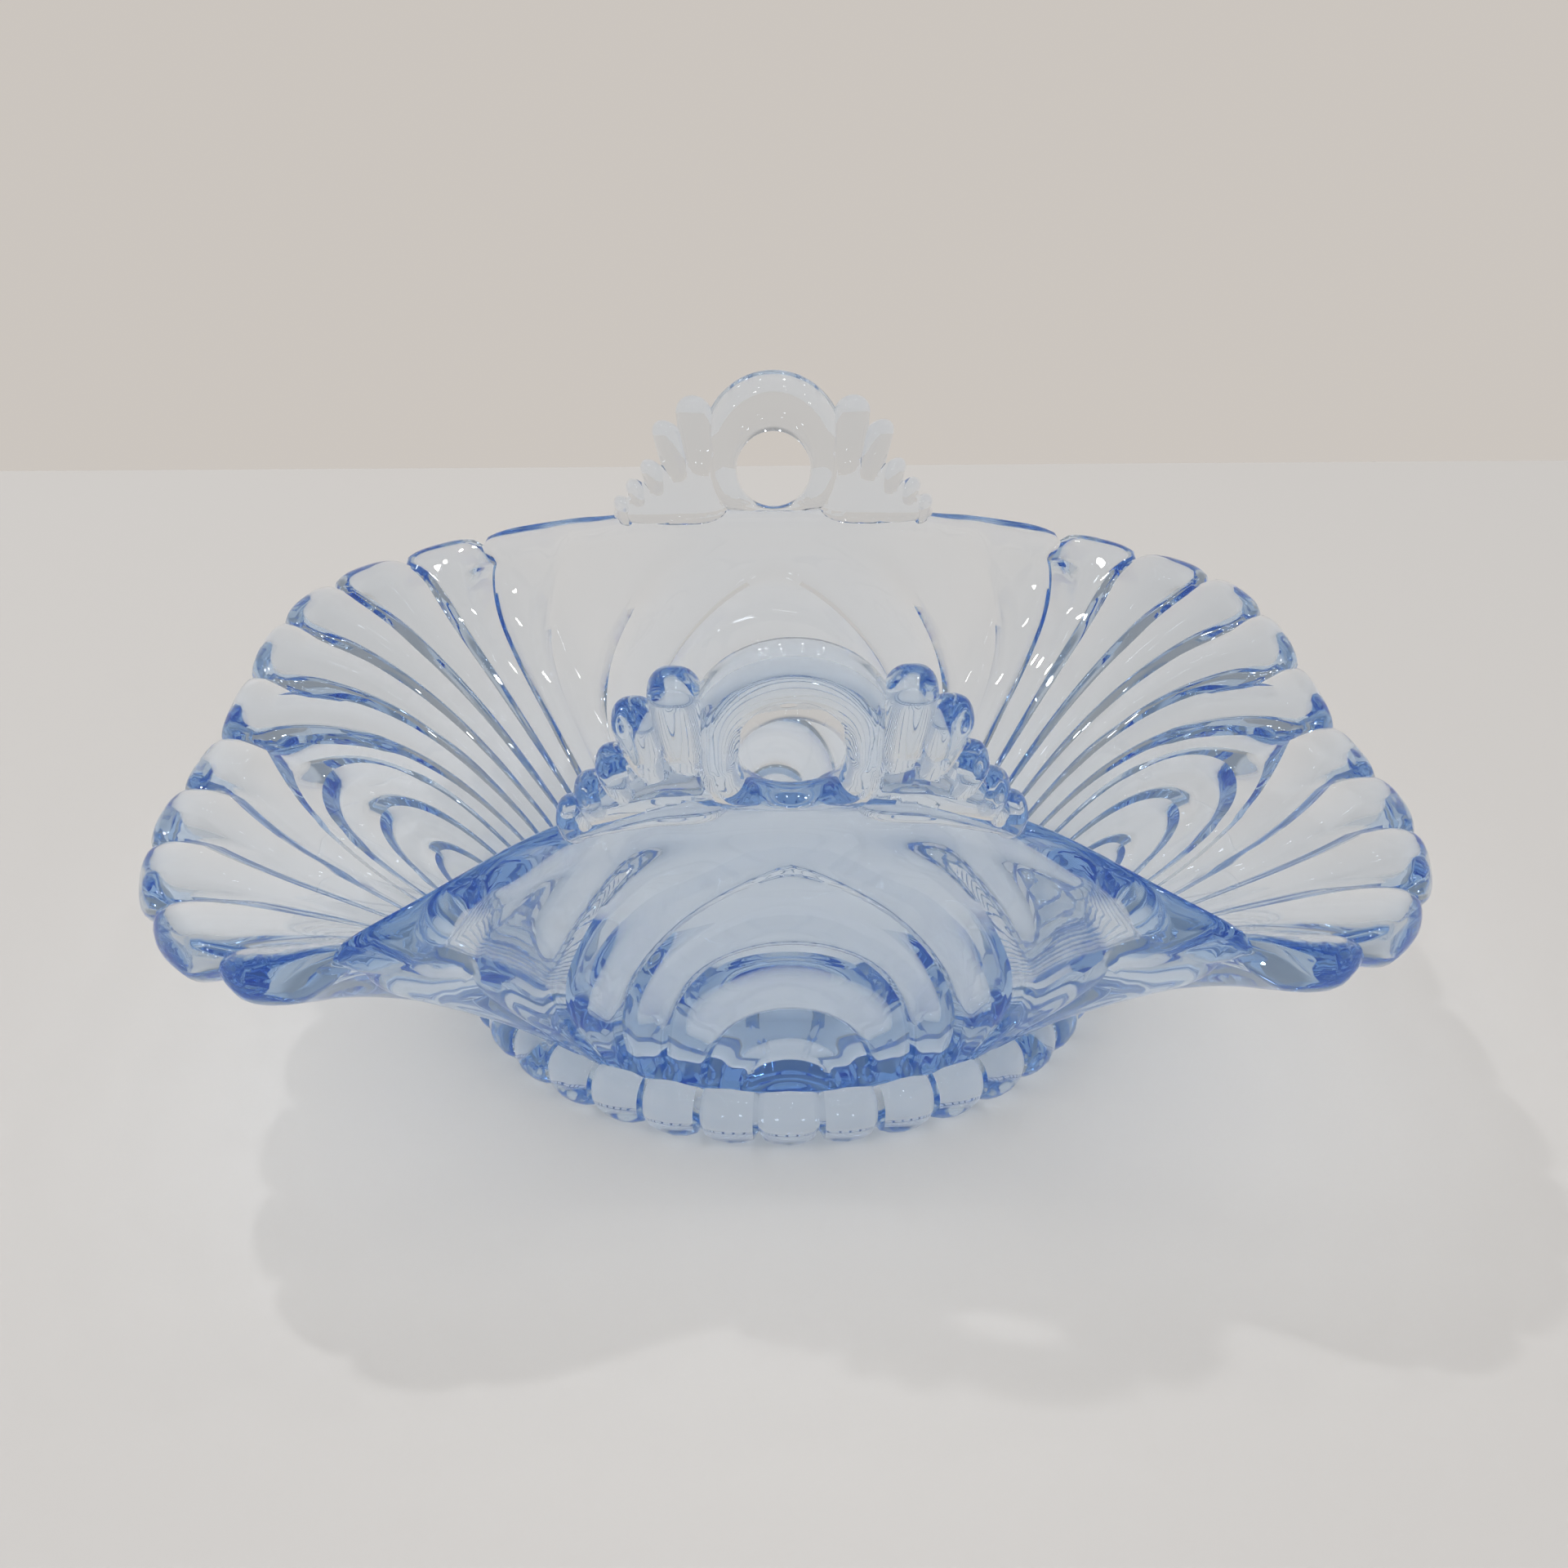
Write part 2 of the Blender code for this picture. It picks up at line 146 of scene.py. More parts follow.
line_ends = np.append(line_ends, np.interp(np.negative(plain_line_across), -crest_x, crest_length))
line_ends = np.append(line_ends, crest_length[-1])
line_numbers = np.append(np.arange(len(line_ends) - 1), line_count)


def rim_angle(line):
    """Angle round the rim where a line ends. Grooves are whole numbers, 0 at mid wing to 7 by mid handle."""
    return np.interp(np.interp(line, line_numbers, line_ends), crest_length, crest_angle)


def groove_place(line, share):
    """Angle and share up the wall of a point on a line. Lines below 0 and past the last close as arches."""
    fan = np.clip(line, 0, line_count)
    inner = np.abs(line - fan)
    closing = inner / np.where(line < 0, wing_arch_count, handle_arch_count)
    wing_foot = np.clip((line + wing_arch_count) / (line_count + wing_arch_count), 0, 1) ** wing_foot_crowding
    handle_foot = math.pi / 2 - (math.pi / 2 - wing_foot_angle) * (1 - closing)
    foot = np.where(line > line_count, handle_foot, wing_foot_angle * wing_foot)
    pointed = np.clip(1 - inner, 0, 1)
    share = pointed * share + (1 - pointed) * np.sin(share * math.pi / 2)
    bend = np.clip(1 - share * share, 0, 1) ** (0.5 + 0.5 * pointed)
    angle = rim_angle(fan) + (foot - rim_angle(fan)) * bend
    power = np.where(line < 0, wing_arch_closing, handle_arch_closing)
    return angle, share * np.clip(1 - closing, 0, 1) ** power


def from_crown(line):
    """0 on the crown of a lobe and 1 in the notch beside it. The rim by the handles has no lobes."""
    side = np.abs(2 * (line - np.floor(line)) - 1)
    return np.where(line > last_notch_end, 0, side)


def wall_section(angle, share, line):
    """Middle of the wall as radius + 1j * height, step inwards, half thickness, and step to the lip."""
    crest_radius = np.interp(angle, crest_angle, np.hypot(crest_x, crest_y))
    crest = crest_radius + 1j * np.interp(angle, crest_angle, crest_z)
    base = base_radius + 1j * base_height
    seat = smooth(*seat_wall_begins, line)
    rim = rim_thickness + (seat_thickness - rim_thickness) * seat
    tip = crest - base
    tip = tip - 1j * 2 * wall_flare * tip.real
    tip = tip / np.abs(tip)
    crown = (1 - from_crown(line) ** lobe_fullness) ** lobe_end_curve
    end = crest - tip * (lip_length + lobe_notch * (1 - crown))
    along = end - base
    middle = base + along * share + 1j * 2 * wall_flare * along.real * share * (1 - share)
    inward = 1j * (along + 1j * 2 * wall_flare * along.real * (1 - 2 * share))
    inward = inward / np.abs(inward)
    half = (wall_thickness + (rim - wall_thickness) * np.clip(share, 0, 1)) / 2
    return middle, inward, half, tip


def turned(section, angle):
    """A point of the section turned to its angle round the bowl."""
    return np.stack([section.real * np.cos(angle), section.real * np.sin(angle), section.imag])


def flute_width(line, share):
    """Width of a flute at a point of the wall, square to its grooves, by small steps along and across it."""
    step = 0.01
    no_length = 1e-9
    crown = np.zeros_like(line) + line_count

    def middle_point(line, share):
        angle, share = groove_place(line, share)
        return turned(wall_section(angle, share, crown)[0], angle)

    across = (middle_point(line + step, share) - middle_point(line - step, share)) / (2 * step)
    along = middle_point(line, np.clip(share + step, 0, 1)) - middle_point(line, np.clip(share - step, 0, 1))
    along = along / np.maximum(np.linalg.norm(along, axis=0), no_length)
    return np.linalg.norm(np.cross(across, along, axis=0), axis=0)


def groove_flank(share):
    """Width of each flank of a groove, which grows from the foot to the rim."""
    return groove_flank_at_base + (groove_flank_at_rim - groove_flank_at_base) * share


def groove_outside(line, share, width):
    """How far the outside is cut back from the full wall: grooves between flutes, and round lobe ends."""
    flank = groove_flank(share)
    from_line = np.abs(line - np.round(line))
    groove = groove_slope * flank * np.clip(1 - from_line * width / flank, 0, 1)
    high = smooth(*handle_flute_thins, share)
    depth = handle_flute_depth_low + (handle_flute_depth_high - handle_flute_depth_low) * high
    depth = np.minimum(depth * width, handle_flute_deepest)
    within = line - np.floor(line)
    rising = np.clip(1 - within / handle_flute_rise, 0, 1) ** handle_flute_rise_curve
    falling = np.clip((within - handle_flute_fall_start) / handle_flute_fall, 0, 1) ** handle_flute_fall_curve
    flute = depth * np.maximum(rising, falling) * (1 - smooth(*handle_flute_ends, share))
    groove = groove + (flute - groove) * smooth(*handle_flute_begins, line)
    lobe_end = lobe_rounding * smooth(*lobe_begins, share) * from_crown(line) ** lobe_fullness
    return groove * smooth(*groove_begins, share) + lobe_end


def groove_inside(line, share):
    """How far a notch is cut into the inside of the wall, which is smooth but for the lobes at the rim."""
    notch = from_crown(line) ** lobe_fullness_inside
    return lobe_rounding_inside * smooth(*lobe_begins_inside, share) * notch


def crowd(line, share):
    """Moves evenly spread columns so that half lie in the grooves, with one along each groove's edge."""
    least_width = 0.5 * MM
    widest_groove = 0.3
    number = np.floor(line)
    side = 2 * (line - number) - 1
    valley = number + (side > 0)
    width = np.maximum(flute_width(valley, share), least_width)
    groove = np.minimum(groove_flank(groove_place(valley, share)[1]) / width, widest_groove)
    from_line = 1 - np.abs(side)
    within = np.clip(2 * from_line, 0, 1)
    beyond = np.clip(2 * from_line - 1, 0, 1)
    offset = groove * within + (0.5 - groove) * beyond
    return np.where(side > 0, valley - offset, valley + offset)


def outside_point(line, rows_up):
    """The fluted outside. The first row of points, below 0, is the edge of the flat underside."""
    share = np.clip(rows_up, 0, 1)
    line = crowd(line, share)
    width = flute_width(line, share)
    angle, share = groove_place(line, share)
    middle, inward, half, _ = wall_section(angle, share, np.clip(line, 0, line_count))
    surface = middle - inward * (half - groove_outside(line, share, width))
    surface = np.where(rows_up < -1e-6, underside_radius + 1j * underside_height, surface)
    return turned(surface, angle)


def lip_and_inside_point(line, rows_in):
    """Over the rounded lip (0 to 1), down the inside wall (1 to 2) and over the floor (2 to 3)."""
    rim = np.ones_like(line)
    line = crowd(line, rim)
    angle = rim_angle(line)
    middle, inward, half, tip = wall_section(angle, rim, line)
    seat = smooth(*seat_lip_begins, line)
    lip = np.clip(rows_in, 0, 1) * math.pi
    across, up = -np.cos(lip), np.sin(lip)
    outer = across < 0
    squareness = np.where(outer, lip_squareness_outside, lip_squareness_inside)
    squareness = squareness + (seat_squareness - squareness) * seat
    reach = (np.abs(across) ** squareness + np.abs(up) ** squareness) ** (-1 / squareness)
    crest = lip_crest * (1 - seat) * half
    cut = np.where(outer, groove_outside(line, rim, flute_width(line, rim)), groove_inside(line, rim))
    side = np.where(outer, half + crest - cut, half - crest - cut)
    lip_surface = middle + inward * (crest + across * reach * side) + tip * up * reach * lip_length
    share = 1 + (floor_start - 1) * np.clip(rows_in - 1, 0, 1)
    middle, inward, half, _ = wall_section(angle, share, line)
    wedge = handle_wall_wedge * np.clip(1 - share, 0, 1) * smooth(*wedge_begins, line)
    wall = middle + inward * (half + wedge - groove_inside(line, share))
    above_floor = floor_rounding * np.logaddexp(0, (wall.imag - floor_height) / floor_rounding)
    to_centre = np.clip(3 - rows_in, 0, 1)
    inside_surface = wall.real * to_centre + 1j * (floor_height + above_floor * to_centre ** 2)
    return turned(np.where(rows_in > 1, inside_surface, lip_surface), angle)


def pick(*pieces):
    """Selects only these pieces, with the first one active."""
    bpy.ops.object.select_all(action="DESELECT")
    for piece in pieces:
        piece.select_set(True)
    bpy.context.view_layer.objects.active = pieces[0]


def reshape(piece, formula):
    """Moves every point of a piece by a formula of its x, y and z."""
    points = np.empty(len(piece.data.vertices) * 3)
    piece.data.vertices.foreach_get("co", points)
    x, y, z = formula(points[0::3], points[1::3], points[2::3])
    piece.data.vertices.foreach_set("co", np.stack([x, y, z], axis=1).ravel())
    piece.data.update()


def add_grid(columns, rows):
    """A flat grid from 0 to 1 both ways, ready to be reshaped."""
    bpy.ops.object.select_all(action="DESELECT")
    bpy.ops.mesh.primitive_grid_add(
        x_subdivisions=columns,
        y_subdivisions=rows,
        size=1,
        location=(0.5, 0.5, 0),
    )
    bpy.ops.object.transform_apply()
    return bpy.context.object


columns_per_flute = 12
wall_rows = 44
outside_rows = 1 + wall_rows
lip_rows = 14
inner_rows = 34
floor_rows = 6
inside_rows = lip_rows + inner_rows + floor_rows
inside_row_ends = (0, lip_rows, lip_rows + inner_rows, inside_rows)


def add_outside(first_line, last_line):
    """A sheet of the fluted outside between two lines."""
    sheet = add_grid(round(columns_per_flute * abs(last_line - first_line)), outside_rows)

    def sheet_point(x, y, z):
        return outside_point(first_line + x * (last_line - first_line), (y * outside_rows - 1) / wall_rows)

    reshape(sheet, sheet_point)
    return sheet


def inside_sheet_point(x, y, z):
    """The place of a point of the inside grid, whose rows run from the lip to the middle of the floor."""
    return lip_and_inside_point(x * line_count, np.interp(y * inside_rows, inside_row_ends, range(4)))


fan = add_outside(0, line_count)
wing_arches = add_outside(0, -wing_arch_count)
handle_arches = add_outside(line_count, line_count + handle_arch_count)
inside = add_grid(round(columns_per_flute * line_count), inside_rows)
reshape(inside, inside_sheet_point)

point_merge = 0.01 * MM
seam_merge = 0.002 * MM
pick(fan, wing_arches, handle_arches, inside)
bpy.ops.object.join()
dish = bpy.context.object
dish.name = "candy_dish"
mirror = dish.modifiers.new("four quarters", "MIRROR")
mirror.use_axis = (True, True, False)
mirror.merge_threshold = seam_merge
bpy.ops.object.modifier_apply(modifier=mirror.name)
bpy.ops.object.mode_set(mode="EDIT")
bpy.ops.mesh.select_all(action="SELECT")
bpy.ops.mesh.remove_doubles(threshold=point_merge)
bpy.ops.mesh.dissolve_degenerate(threshold=point_merge)
bpy.ops.mesh.select_all(action="DESELECT")
bpy.ops.mesh.select_non_manifold(extend=False)
bpy.ops.mesh.edge_face_add()
bpy.ops.mesh.select_all(action="SELECT")
bpy.ops.mesh.normals_make_consistent(inside=False)
bpy.ops.object.mode_set(mode="OBJECT")


# Foot ring
# The ring that the dish stands on is pressed with the bowl: a row of plump beads outside with creases between
# them, plain inside, with a narrow flat below where it rests.
foot_middle_radius = 39.4 * MM
foot_outer_radius = 43.5 * MM
foot_inner_radius = 35.2 * MM
foot_half_height = 4.1 * MM
foot_middle_height = 3.8 * MM
bead_count = 36
bead_relief = 1.7 * MM
bead_squareness = 2.2
bead_roundness = 0.92
bead_crowding = 1.9
bead_crease = 0.9 * MM
bead_crease_start = 0.94
bead_fade = (-0.5, 0)
points_per_bead = 14
points_round_tube = 28


def foot_point(x, y, z):
    """Turns a plain round ring into the beaded one."""
    angle = np.arctan2(y, x)
    tube = np.arctan2(z, np.hypot(x, y) - foot_middle_radius)
    across, up = np.cos(tube), np.sin(tube)
    reach = (np.abs(across) ** bead_squareness + np.abs(up) ** bead_squareness) ** (-1 / bead_squareness)
    bead = angle * bead_count / (2 * math.pi) + 0.5
    side = 2 * (bead - np.floor(bead)) - 1
    side = np.sign(side) * (1 - (1 - np.abs(side)) ** bead_crowding)
    angle = (np.floor(bead) + side / 2) * 2 * math.pi / bead_count
    crease = bead_crease * np.clip((np.abs(side) - bead_crease_start) / (1 - bead_crease_start), 0, 1)
    cut = bead_relief * (1 - np.sqrt(1 - bead_roundness * side * side)) + crease
    cut = cut * smooth(*bead_fade, across)
    outwards = foot_outer_radius - foot_middle_radius
    inwards = foot_middle_radius - foot_inner_radius
    radius = foot_middle_radius + across * (reach * np.where(across > 0, outwards, inwards) - cut)
    height = foot_middle_height + up * (reach * foot_half_height - cut)
    return radius * np.cos(angle), radius * np.sin(angle), np.clip(height, 0, None)


bpy.ops.object.select_all(action="DESELECT")
bpy.ops.mesh.primitive_torus_add(
    major_segments=bead_count * points_per_bead,
    minor_segments=points_round_tube,
    major_radius=foot_middle_radius,
    minor_radius=foot_half_height,
)
foot = bpy.context.object
reshape(foot, foot_point)


# Handles
# Each handle is a palmette pressed with the dish: a thick round eye to lift it by, with petals that step down
# on both sides to small beads and a thin web between them. It stands on the folded edge, leaning outwards.
handle_lean = math.radians(17)
handle_height = 50 * MM
eye_radius = 10.7 * MM
eye_rise = 11.4 * MM
eye_hole_radius = 5.6 * MM
eye_hole_rise = 7.4 * MM
eye_half_thickness = 2.7 * MM
eye_sunk_thickness = 2.5 * MM
eye_arm_across = 5 * MM
eye_arm_blend = 1 * MM
eye_top_squareness = 2
eye_foot_squareness = 5
eye_squareness_outside = 2.7
eye_squareness_inside = 2.8
eye_step = 0.35 * MM
eye_step_width = 2 * MM
eye_step_blend = 0.2 * MM
eye_points_round = 96
eye_points_tube = 36

# Petals from the eye outwards, in millimetres
petal_across = (12.2, 16.6, 18.9, 21.3, 23.3)
petal_foot_across = (10.4, 13.2, 16.6, 19.4, 22.2)
petal_top = (18.4, 14.6, 8.6, 5.4, 2.6)
petal_foot = (1.4, 1.4, 0.4, -1.6, -3.0)
petal_half_width = (2.8, 2.3, 1.8, 1.7, 1.5)
petal_half_thickness = (3.0, 3.0, 2.9, 2.8, 2.7)
petal_squareness = 2.6
petal_points_round = 36
petal_points_up = 24

# Web
web_inner_end = 6.2 * MM
web_outer_end = 24.5 * MM
web_fall_start = 14 * MM
web_top = 11 * MM
web_end_top = 0.6 * MM
web_bottom = -1.5 * MM
web_foot_thickness = 2.7 * MM
web_top_thickness = 1.9 * MM
web_squareness = 4
web_points_round = 64
web_points_up = 48

edge_samples = 721
edge_turn = np.linspace(-math.pi, math.pi, edge_samples)
edge_squareness = np.where(edge_turn < 0, eye_foot_squareness, eye_top_squareness)
edge_reach = np.abs(np.cos(edge_turn)) ** edge_squareness + np.abs(np.sin(edge_turn)) ** edge_squareness
edge_x = eye_radius * np.cos(edge_turn) * edge_reach ** (-1 / edge_squareness)
edge_z = eye_radius * np.sin(edge_turn) * edge_reach ** (-1 / edge_squareness) + eye_rise - eye_hole_rise


def eye_point(x, y, z):
    """Turns a plain ring into the eye: round above, straight arms below, and a round hole set low."""
    rise = z - eye_hole_rise
    angle = np.arctan2(rise, x)
    tube = np.arctan2(y, np.hypot(x, rise) - eye_radius)
    edge = np.interp(angle, np.arctan2(edge_z, edge_x), np.hypot(edge_x, edge_z), period=2 * math.pi)
    across, out = np.cos(tube), np.sin(tube)
    squareness = np.where(across > 0, eye_squareness_outside, eye_squareness_inside)
    reach = (np.abs(across) ** squareness + np.abs(out) ** squareness) ** (-1 / squareness)
    half = (edge - eye_hole_radius) / 2
    radius = eye_hole_radius + half * (1 + across * reach)
    inside_step = smooth(eye_step_width - eye_step_blend, eye_step_width + eye_step_blend, edge - radius)
    step = eye_step * (1 - inside_step)
    beside = radius * np.abs(np.cos(angle))
    arms = smooth(eye_arm_across - eye_arm_blend, eye_arm_across + eye_arm_blend, beside)
    arms = np.where(rise > 0, 1, arms)
    thickness = eye_sunk_thickness + (eye_half_thickness - eye_sunk_thickness) * arms
    thickness = (thickness - step) * out * reach
    return radius * np.cos(angle), thickness, eye_hole_rise + radius * np.sin(angle)


def add_ball(points_round, points_up):
    """A ball of radius 1, ready to be reshaped."""
    bpy.ops.object.select_all(action="DESELECT")
    bpy.ops.mesh.primitive_uv_sphere_add(segments=points_round, ring_count=points_up, radius=1)
    return bpy.context.object


def add_petal(side, top_across, foot_across, top, base, width, thickness):
    """A petal on one side of the eye: a pill with a round top, narrowing to a point at its foot."""
    petal = add_ball(petal_points_round, petal_points_up)

    def petal_point(x, y, z):
        around = np.hypot(x, y)
        reach = np.abs(x) ** petal_squareness + np.abs(y) ** petal_squareness
        reach = np.maximum(reach, 1e-9) ** (-1 / petal_squareness)
        x, y = x * reach * around, y * reach * around
        length = (top - base) / width
        up = np.where(z > 0, length - 1 + z, (z + 1) * (length - 1))
        up = up / length
        point = np.where(z > 0, 1, (1 + z * z * z) / np.maximum(around, 1e-6))
        middle = foot_across + (top_across - foot_across) * up
        across = side * (middle + x * width * point) * MM
        return across, y * thickness * MM * point, (base + (top - base) * up) * MM

    reshape(petal, petal_point)
    if side < 0:
        bpy.ops.object.mode_set(mode="EDIT")
        bpy.ops.mesh.select_all(action="SELECT")
        bpy.ops.mesh.flip_normals()
        bpy.ops.object.mode_set(mode="OBJECT")
    return petal


def superellipsoid(x, y, z, squareness):
    """Moves points of a ball of radius 1 onto a fuller, squarer ball."""
    reach = np.abs(x) ** squareness + np.abs(y) ** squareness + np.abs(z) ** squareness
    reach = reach ** (-1 / squareness)
    return x * reach, y * reach, z * reach


def add_web(side):
    """The web between the petals on one side of the eye, which falls away outwards and thins upwards."""
    web = add_ball(web_points_round, web_points_up)

    def web_point(x, y, z):
        x, y, z = superellipsoid(x, y, z, web_squareness)
        across = (web_inner_end + web_outer_end) / 2 + x * side * (web_outer_end - web_inner_end) / 2
        top = np.interp(across, (web_fall_start, web_outer_end), (web_top, web_end_top))
        rise = web_bottom + (z + 1) / 2 * (top - web_bottom)
        thickness = np.interp(rise, (0, web_top), (web_foot_thickness, web_top_thickness))
        return side * across, y * thickness, rise

    reshape(web, web_point)
    return web


def join_glass(piece, others):
    """Melts other closed pieces into one piece, so that no wall is left inside the glass."""
    for other in others:
        pick(piece)
        melt = piece.modifiers.new("melt", "BOOLEAN")
        melt.operation = "UNION"
        melt.solver = "EXACT"
        melt.object = other
        bpy.ops.object.modifier_apply(modifier=melt.name)
        bpy.data.objects.remove(other)


def lean_on_seat(x, y, z):
    """Stands a flat handle on the bowed edge of the bowl, at its lean."""
    seat_y = np.interp(np.abs(x), crest_x[::-1], crest_y[::-1])
    lean_y = seat_y + z * math.sin(handle_lean) + y * math.cos(handle_lean)
    lean_z = handle_height + z * math.cos(handle_lean) - y * math.sin(handle_lean)
    return x, lean_y, lean_z


bpy.ops.object.select_all(action="DESELECT")
bpy.ops.mesh.primitive_torus_add(
    major_segments=eye_points_round,
    minor_segments=eye_points_tube,
    major_radius=eye_radius,
    minor_radius=eye_half_thickness,
    location=(0, 0, eye_hole_rise),
    rotation=(math.pi / 2, 0, 0),
)
bpy.ops.object.transform_apply()
rear_handle = bpy.context.object
reshape(rear_handle, eye_point)

petal_sizes = zip(
    petal_across, petal_foot_across, petal_top, petal_foot, petal_half_width, petal_half_thickness
)
petals = [add_petal(side, *sizes) for sizes in petal_sizes for side in (-1, 1)]
webs = [add_web(side) for side in (-1, 1)]
join_glass(rear_handle, [*webs, *petals])
reshape(rear_handle, lean_on_seat)

pick(rear_handle)
bpy.ops.object.duplicate()
front_handle = bpy.context.object
front_handle.rotation_euler = (0, 0, math.pi)
bpy.ops.object.transform_apply()


# Glass
# Foot, bowl and handles are one pressing, so they are melted into one closed piece of clear pale blue glass.
# It is fire polished, with the faint ripple that a mould leaves, and the foot is scuffed where it has stood.
sharpest_smooth_edge = math.radians(38)
glass_bending = 1.5
glass_tint = (0, 0.43, 0.88, 1)
glass_tint_density = 20
ripple_scale = 70
ripple_strength = 0.12
ripple_depth = 0.4 * MM
haze_scale = 220
haze_range = (0.45, 0.8)
haze_roughness_most = 0.02
foot_scuff = 0.15
foot_scuff_heights = (0.05 * MM, 0.3 * MM)

join_glass(dish, [foot, rear_handle, front_handle])
pick(dish)
bpy.ops.object.mode_set(mode="EDIT")
bpy.ops.mesh.select_all(action="SELECT")
bpy.ops.mesh.remove_doubles(threshold=seam_merge)
bpy.ops.mesh.normals_make_consistent(inside=False)
bpy.ops.object.mode_set(mode="OBJECT")
bpy.ops.object.shade_smooth_by_angle(angle=sharpest_smooth_edge)

glass = bpy.data.materials.new("pale_blue_glass")
glass.use_nodes = True
nodes = glass.node_tree.nodes
links = glass.node_tree.links
body = nodes["Principled BSDF"]
body.inputs["Base Color"].default_value = (1, 1, 1, 1)
body.inputs["Transmission Weight"].default_value = 1
body.inputs["IOR"].default_value = glass_bending

place = nodes.new("ShaderNodeTexCoord")
ripple = nodes.new("ShaderNodeTexNoise")
ripple.inputs["Scale"].default_value = ripple_scale
ripple.inputs["Detail"].default_value = 1
links.new(place.outputs["Object"], ripple.inputs["Vector"])
ripple_bump = nodes.new("ShaderNodeBump")
ripple_bump.inputs["Strength"].default_value = ripple_strength
ripple_bump.inputs["Distance"].default_value = ripple_depth
links.new(ripple.outputs["Fac"], ripple_bump.inputs["Height"])
links.new(ripple_bump.outputs["Normal"], body.inputs["Normal"])

haze = nodes.new("ShaderNodeTexNoise")
haze.inputs["Scale"].default_value = haze_scale
haze.inputs["Detail"].default_value = 3
links.new(place.outputs["Object"], haze.inputs["Vector"])
haze_roughness = nodes.new("ShaderNodeMapRange")
haze_roughness.inputs["From Min"].default_value = haze_range[0]
haze_roughness.inputs["From Max"].default_value = haze_range[1]
haze_roughness.inputs["To Min"].default_value = 0
haze_roughness.inputs["To Max"].default_value = haze_roughness_most
links.new(haze.outputs["Fac"], haze_roughness.inputs["Value"])
height = nodes.new("ShaderNodeSeparateXYZ")
links.new(place.outputs["Object"], height.inputs["Vector"])
foot_wear = nodes.new("ShaderNodeMapRange")
foot_wear.inputs["From Min"].default_value = foot_scuff_heights[0]
foot_wear.inputs["From Max"].default_value = foot_scuff_heights[1]
foot_wear.inputs["To Min"].default_value = foot_scuff
foot_wear.inputs["To Max"].default_value = 0
links.new(height.outputs["Z"], foot_wear.inputs["Value"])
roughness = nodes.new("ShaderNodeMath")
roughness.operation = "ADD"
links.new(haze_roughness.outputs["Result"], roughness.inputs[0])
links.new(foot_wear.outputs["Result"], roughness.inputs[1])
links.new(roughness.outputs["Value"], body.inputs["Roughness"])

depth = nodes.new("ShaderNodeVolumeAbsorption")
depth.inputs["Color"].default_value = glass_tint
depth.inputs["Density"].default_value = glass_tint_density
links.new(depth.outputs["Volume"], nodes["Material Output"].inputs["Volume"])

dish.data.materials.clear()
dish.data.materials.append(glass)
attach(dish, "root")
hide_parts("bowl", "foot_ring", "front_handle", "rear_handle")


# Table
# A plain pale painted table top that the dish stands on, with its far edge a little way behind the dish.
# A hair of air under the foot keeps table and glass apart.
table_reach = 3.0
table_back_edge = 0.246
table_gap = 0.04 * MM
table_colour = (0.62, 0.605, 0.59, 1)
table_roughness = 0.6

bpy.ops.object.select_all(action="DESELECT")
bpy.ops.mesh.primitive_plane_add(size=1)
table = bpy.context.object
table.name = "table_top"
table.scale = (2 * table_reach, table_reach + table_back_edge, 1)
table.location = (0, (table_back_edge - table_reach) / 2, -table_gap)
bpy.ops.object.transform_apply()
table_paint = bpy.data.materials.new("pale_table_paint")
table_paint.use_nodes = True
paint = table_paint.node_tree.nodes["Principled BSDF"]
paint.inputs["Base Color"].default_value = table_colour
paint.inputs["Roughness"].default_value = table_roughness
table.data.materials.append(table_paint)


# Light
# An even light comes from the whole room, and what reaches the table through the glass is gathered by it. The
# room itself shows as a pale wall with a darker ceiling. A lamp behind the left wing throws the shadow, and
# four rows of small ceiling lamps make the sparks in the glass.
room_light_colour = (0.80, 0.785, 0.77, 1)
gathered_light = 1.5
wall_colour = (0.60, 0.56, 0.52, 1)
ceiling_colour = (0.34, 0.33, 0.32, 1)
ceiling_start = -0.25
ceiling_full = -0.6
lamp_height = 0.95
lamp_radius = 0.02
key_lamp_place = (-0.35, 0.3)
key_lamp_power = 5
spots_across = (-0.45, -0.15, 0.15, 0.45)
spots_along = (-1.1, -0.6, -0.1, 0.4)
spot_power = 0.5

room = bpy.data.worlds.new("pale_room")
bpy.context.scene.world = room
room.use_nodes = True
room_nodes = room.node_tree.nodes
room_links = room.node_tree.links


def room_math(operation, *values):
    """Adds a sum to the room's nodes. A value is the output of another node, or a plain number."""
    result = room_nodes.new("ShaderNodeMath")
    result.operation = operation
    for socket, value in zip(result.inputs, values):
        if isinstance(value, bpy.types.NodeSocket):
            room_links.new(value, socket)
        else:
            socket.default_value = value
    return result.outputs["Value"]


ray = room_nodes.new("ShaderNodeLightPath").outputs
seen = room_math("MAXIMUM", ray["Is Camera Ray"], ray["Is Glossy Ray"])
seen = room_math("MAXIMUM", seen, ray["Is Transmission Ray"])
before_table = room_math("LESS_THAN", ray["Diffuse Depth"], 0.5)
shows_room = room_math("MULTIPLY", seen, before_table)

room_light = room_nodes["Background"]
room_light.inputs["Color"].default_value = room_light_colour
light_strength = room_math("MULTIPLY_ADD", ray["Is Transmission Ray"], gathered_light, 1)
room_links.new(light_strength, room_light.inputs["Strength"])

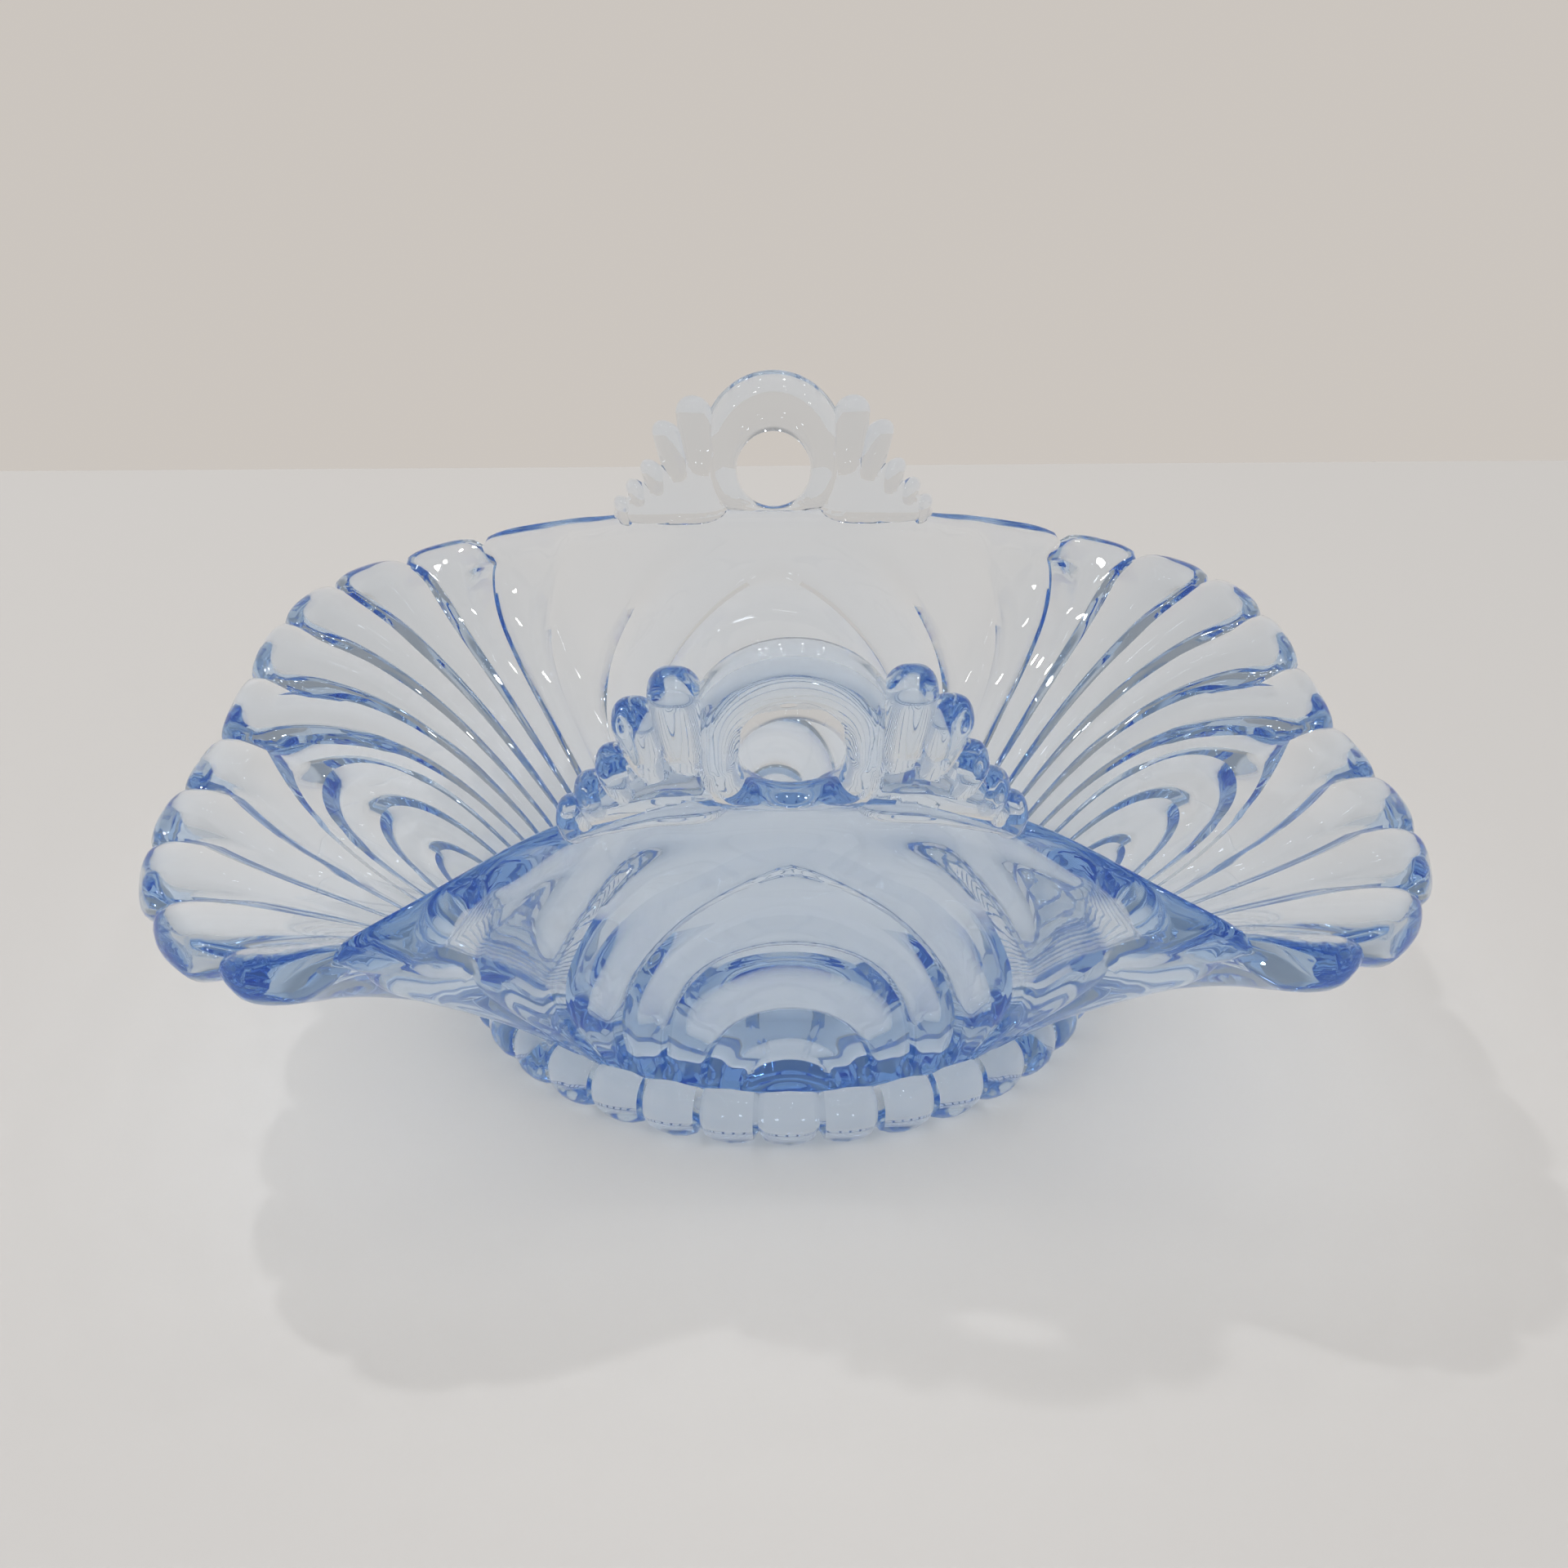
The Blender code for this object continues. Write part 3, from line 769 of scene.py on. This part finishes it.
room_view = room_nodes.new("ShaderNodeBackground")
ray_direction = room_nodes.new("ShaderNodeNewGeometry")
ray_height = room_nodes.new("ShaderNodeSeparateXYZ")
room_links.new(ray_direction.outputs["Incoming"], ray_height.inputs["Vector"])
ceiling = room_nodes.new("ShaderNodeMapRange")
ceiling.interpolation_type = "SMOOTHSTEP"
ceiling.inputs["From Min"].default_value = ceiling_start
ceiling.inputs["From Max"].default_value = ceiling_full
room_links.new(ray_height.outputs["Z"], ceiling.inputs["Value"])
room_colour = room_nodes.new("ShaderNodeMix")
room_colour.data_type = "RGBA"
room_colour.inputs["A"].default_value = wall_colour
room_colour.inputs["B"].default_value = ceiling_colour
room_links.new(ceiling.outputs["Result"], room_colour.inputs["Factor"])
room_links.new(room_colour.outputs["Result"], room_view.inputs["Color"])

room_mix = room_nodes.new("ShaderNodeMixShader")
room_links.new(shows_room, room_mix.inputs["Fac"])
room_links.new(room_light.outputs["Background"], room_mix.inputs[1])
room_links.new(room_view.outputs["Background"], room_mix.inputs[2])
room_links.new(room_mix.outputs["Shader"], room_nodes["World Output"].inputs["Surface"])


def add_lamp(name, x, y, power):
    """A small bare lamp at the height of the ceiling."""
    bpy.ops.object.light_add(type="POINT", location=(x, y, lamp_height))
    lamp = bpy.context.object
    lamp.name = name
    lamp.data.shadow_soft_size = lamp_radius
    lamp.data.energy = power


add_lamp("key_lamp", *key_lamp_place, key_lamp_power)
for spot_x in spots_across:
    for spot_y in spots_along:
        add_lamp("ceiling_spot", spot_x, spot_y, spot_power)


# Camera
# It looks down on the dish from close in front, at the angle of the photograph. Light may pass many faces of
# the glass on its way, so that no edge goes black.
camera_place = (-5.1 * MM, -230.8 * MM, 140.8 * MM)
camera_fall = 25.9
camera_turn = math.radians(-1.36)
camera_lens = 43.9
most_bounces = 40

bpy.ops.object.camera_add(location=camera_place, rotation=(math.radians(90 - camera_fall), 0, camera_turn))
camera = bpy.context.object
camera.data.lens = camera_lens
bpy.context.scene.camera = camera
bpy.context.scene.view_settings.view_transform = "Standard"
bpy.context.scene.cycles.max_bounces = most_bounces
bpy.context.scene.cycles.transmission_bounces = most_bounces
bpy.context.scene.cycles.glossy_bounces = most_bounces
